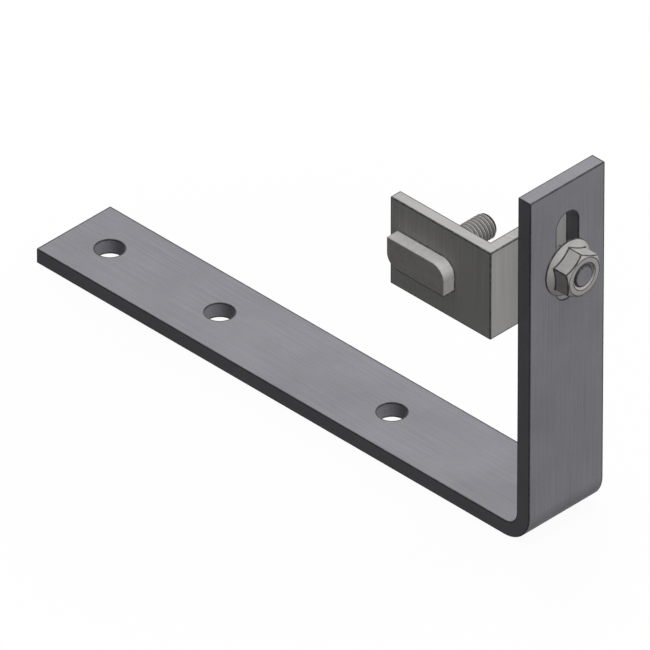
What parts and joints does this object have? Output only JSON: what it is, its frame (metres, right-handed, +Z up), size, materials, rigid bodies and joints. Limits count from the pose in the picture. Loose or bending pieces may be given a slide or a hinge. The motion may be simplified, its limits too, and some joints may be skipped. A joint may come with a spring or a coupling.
{
  "type": "bitumen roof hook",
  "caption": "Bent flat strap with screw holes in its base leg and a slotted upright leg, carrying a height-adjustable angle with a hammerhead bolt for a mounting rail.",
  "frame": {"origin": "on the axis of the screw hole nearest the bend, at the strap's underside", "axes": "+Z up off the roof, +X along the base leg from its free end to the upright leg, Y across the strap with the rail side at -Y"},
  "size_m": [0.2068, 0.0457, 0.12],
  "materials": {
    "strap_steel": "satin rolled stainless steel",
    "angle_aluminium": "matt extruded aluminium",
    "fastener_steel": "cold formed stainless steel",
    "slot_bolt_steel": "cold formed stainless steel, dull"
  },
  "bodies": {
    "strap": {"hook_strap": "strap_steel"},
    "slot_clamp": {"slot_bolt": "slot_bolt_steel", "slot_nut": "fastener_steel"},
    "angle": {"clamp_angle": "angle_aluminium"},
    "rail_clamp": {"hammerhead_bolt": "fastener_steel", "hammerhead_nut": "fastener_steel"}
  },
  "joints": [
    {"name": "height_slide", "type": "slide", "parent": "strap", "child": "slot_clamp", "axis": [0, 0, 1], "range_m": [-0.0069, 0.0149]},
    {"name": "angle_swivel", "type": "hinge", "parent": "slot_clamp", "child": "angle", "pos_m": [0.065, 0, 0.091], "axis": [1, 0, 0], "continuous": true},
    {"name": "hammerhead_turn", "type": "hinge", "parent": "angle", "child": "rail_clamp", "pos_m": [0.0395, -0.026, 0.091], "axis": [0, -1, 0], "range_deg": [0, 90]}
  ]
}
